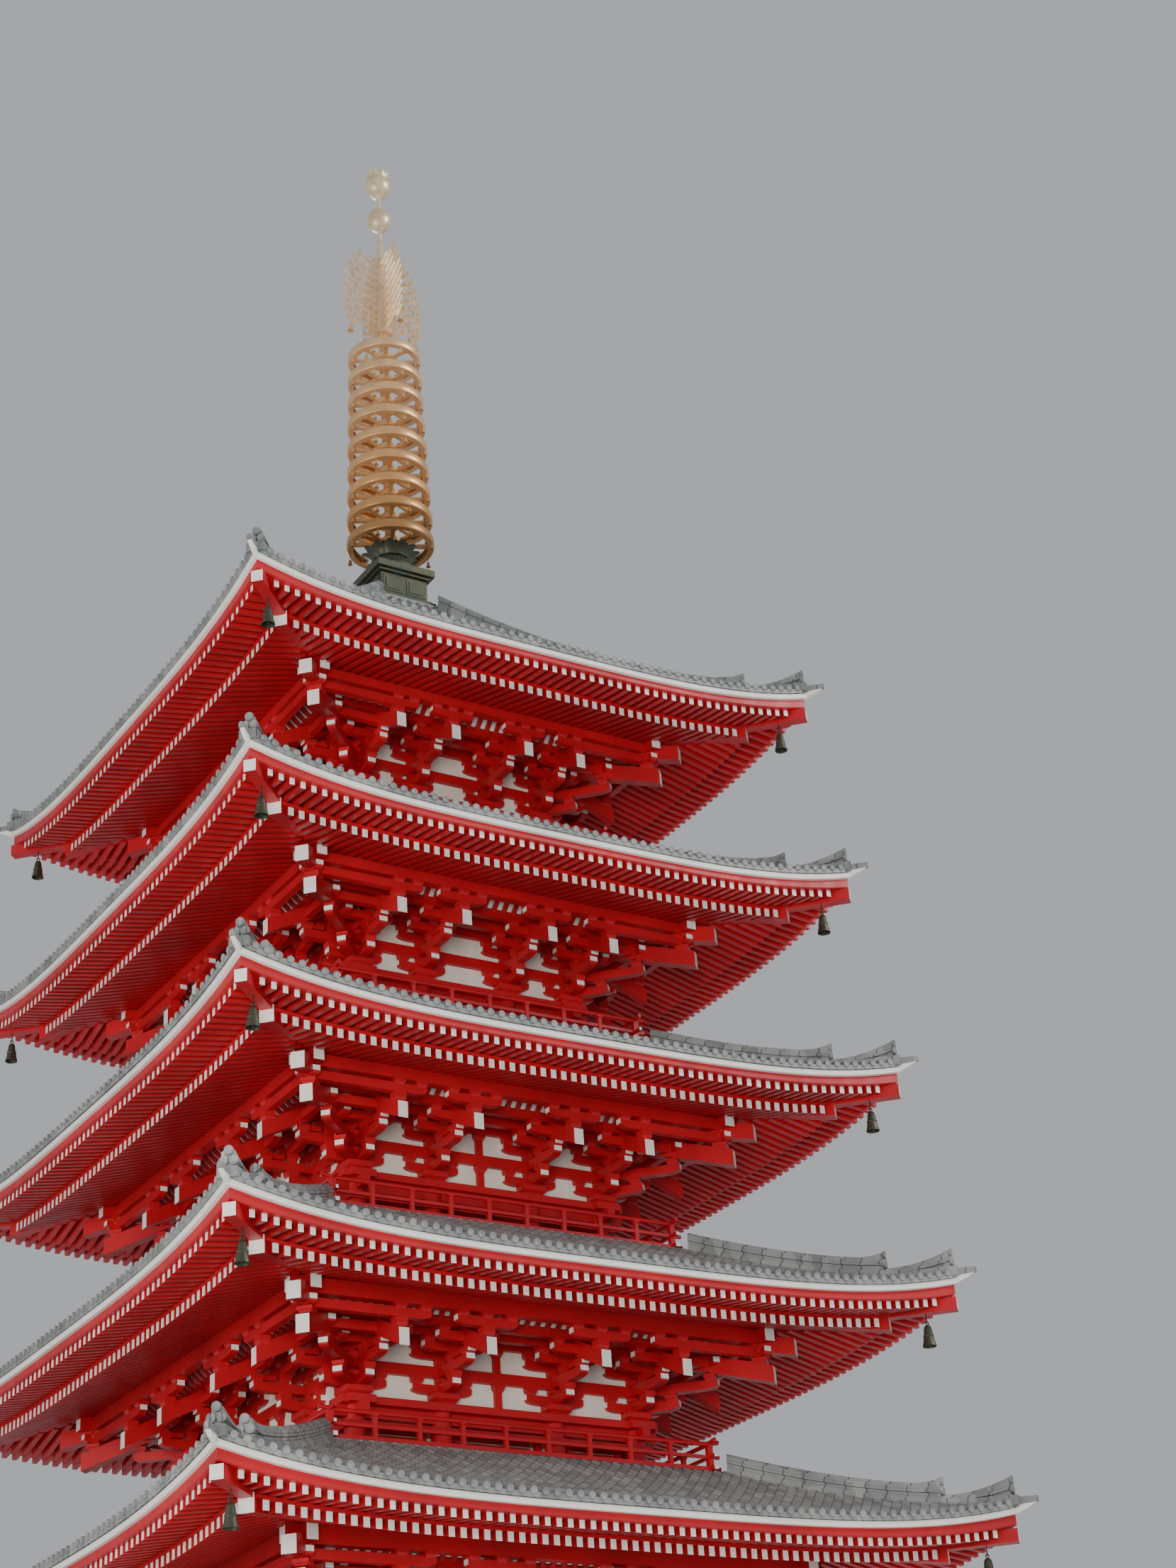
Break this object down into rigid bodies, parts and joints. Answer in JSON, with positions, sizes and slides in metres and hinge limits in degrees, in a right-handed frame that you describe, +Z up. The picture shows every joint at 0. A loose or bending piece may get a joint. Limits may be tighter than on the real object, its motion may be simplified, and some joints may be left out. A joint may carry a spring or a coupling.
{
  "type": "five-storey pagoda, 1:2 scale model",
  "caption": "Square timber pagoda of five storeys with deep tiled eaves on stepped brackets, balconies and a ringed bronze finial, at half size.",
  "frame": {"origin": "centre of the podium's underside, on the ground", "axes": "+Z up the tower's axis, -Y out of the front side, +X to the right of it"},
  "size_m": [9.4002, 9.4002, 23.87],
  "materials": {
    "granite": "dressed granite",
    "vermilion_paint": "glossy vermilion paint on timber, ends painted white",
    "plaster": "matt white plaster",
    "door_paint": "vermilion paint on boarded leaves",
    "roof_tile": "grey fired tile",
    "dark_bronze": "dark patinated bronze",
    "gilt_bronze": "weathered gilt bronze"
  },
  "bodies": {
    "root": {"podium": "granite", "front_steps": "granite", "right_steps": "granite", "back_steps": "granite", "left_steps": "granite", "columns_1": "vermilion_paint", "walls_1": "plaster", "doors_and_windows_1": "door_paint", "brackets_1": "vermilion_paint", "eaves_1": "vermilion_paint", "roof_1": "roof_tile", "balcony_2": "vermilion_paint", "columns_2": "vermilion_paint", "walls_2": "plaster", "doors_and_windows_2": "door_paint", "brackets_2": "vermilion_paint", "eaves_2": "vermilion_paint", "roof_2": "roof_tile", "balcony_3": "vermilion_paint", "columns_3": "vermilion_paint", "walls_3": "plaster", "doors_and_windows_3": "door_paint", "brackets_3": "vermilion_paint", "eaves_3": "vermilion_paint", "roof_3": "roof_tile", "balcony_4": "vermilion_paint", "columns_4": "vermilion_paint", "walls_4": "plaster", "doors_and_windows_4": "door_paint", "brackets_4": "vermilion_paint", "eaves_4": "vermilion_paint", "roof_4": "roof_tile", "balcony_5": "vermilion_paint", "columns_5": "vermilion_paint", "walls_5": "plaster", "doors_and_windows_5": "door_paint", "brackets_5": "vermilion_paint", "eaves_5": "vermilion_paint", "roof_5": "roof_tile", "dew_basin": "dark_bronze", "bowl_and_lotus": "dark_bronze", "nine_rings": "gilt_bronze", "water_flame": "gilt_bronze", "dragon_ball_and_jewel": "gilt_bronze"}
  },
  "joints": []
}
